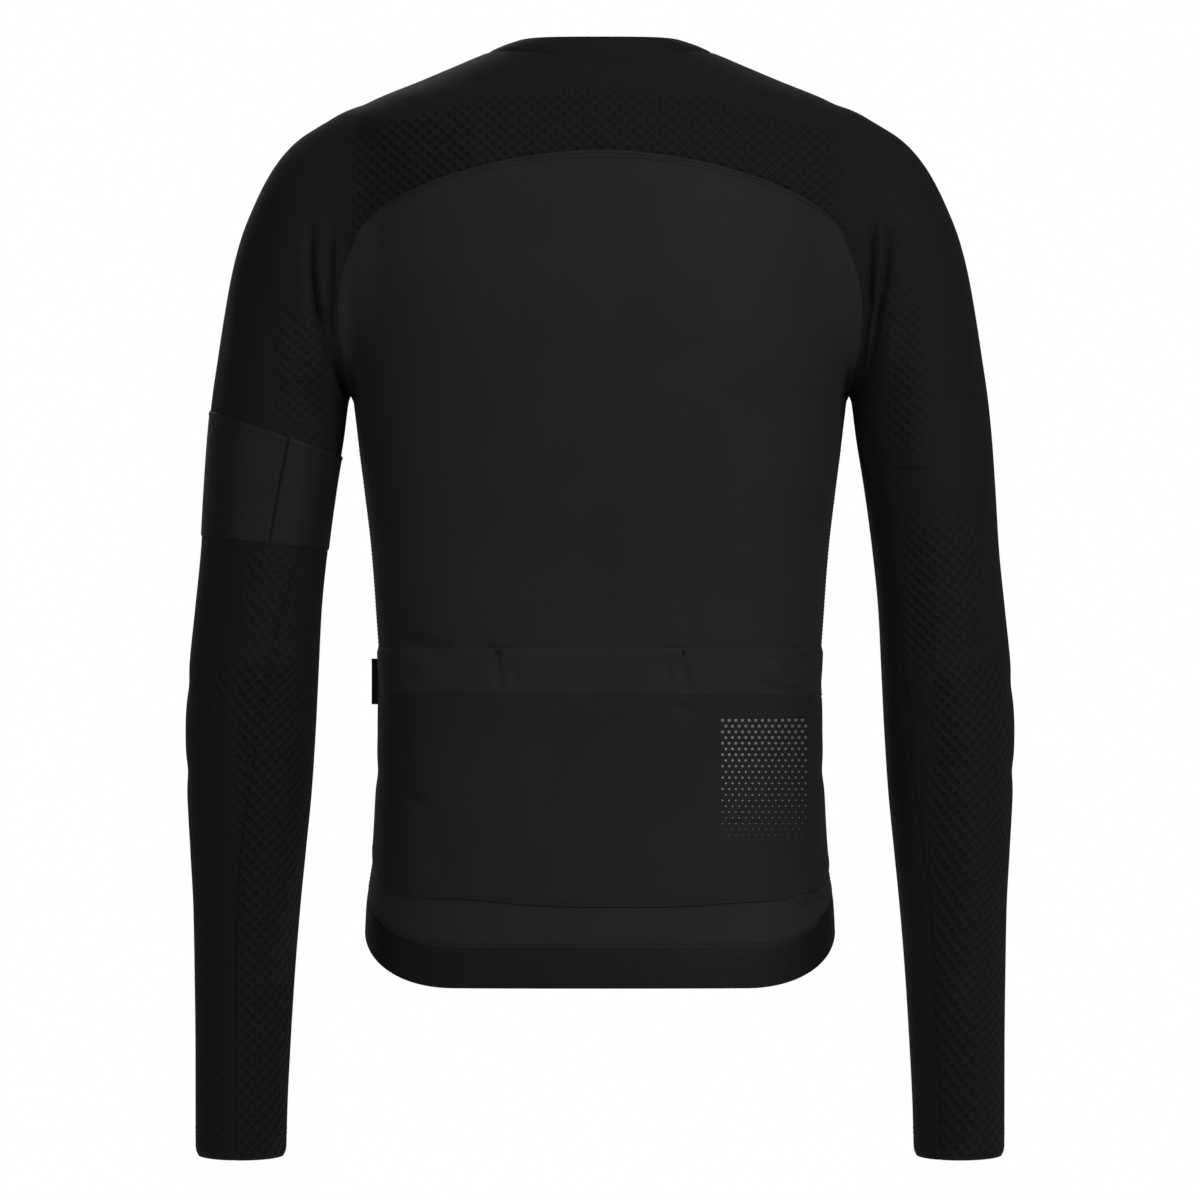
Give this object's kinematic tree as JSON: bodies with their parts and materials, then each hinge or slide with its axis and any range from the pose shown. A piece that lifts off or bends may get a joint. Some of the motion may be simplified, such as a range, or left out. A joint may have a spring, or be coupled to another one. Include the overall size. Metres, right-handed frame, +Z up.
{
  "type": "cycling jersey",
  "caption": "Close-fitting long-sleeved cycling jersey, worn form with no wearer: raglan sleeves, low collar, back pockets, elastic hem and front zip.",
  "frame": {"origin": "on the centre line at the base of the neck, where the wearer's neck and shoulders carry the jersey", "axes": "+Z up along the body, -Y towards the zip in front, +X towards the wearer's left"},
  "size_m": [0.5797, 0.2361, 0.7862],
  "materials": {
    "charcoal_knit": "matt smooth knit",
    "dimple_knit": "matt dimpled knit",
    "band_knit": "plain smooth knit",
    "hem_elastic": "smooth elastic",
    "zip_cloth": "woven tape",
    "zip_coil": "nylon coil",
    "zip_metal": "black satin",
    "label_cloth": "woven ribbon"
  },
  "bodies": {
    "jersey": {"back_panel": "charcoal_knit", "pocket_panel": "charcoal_knit", "pocket_band": "charcoal_knit", "front_left": "charcoal_knit", "front_right": "charcoal_knit", "sleeve_left": "dimple_knit", "sleeve_right": "dimple_knit", "arm_band": "band_knit", "collar": "dimple_knit", "gripper_back": "hem_elastic", "gripper_front_left": "hem_elastic", "gripper_front_right": "hem_elastic", "zip_tape": "zip_cloth", "zip_chain": "zip_coil", "zip_slider": "zip_metal", "side_label": "label_cloth"},
    "pull": {"zip_pull": "zip_metal"}
  },
  "joints": [
    {"name": "pull_hinge", "type": "hinge", "parent": "jersey", "child": "pull", "pos_m": [0, -0.07556, -0.0389], "axis": [-1, 0, 0], "range_deg": [0, 150]}
  ]
}
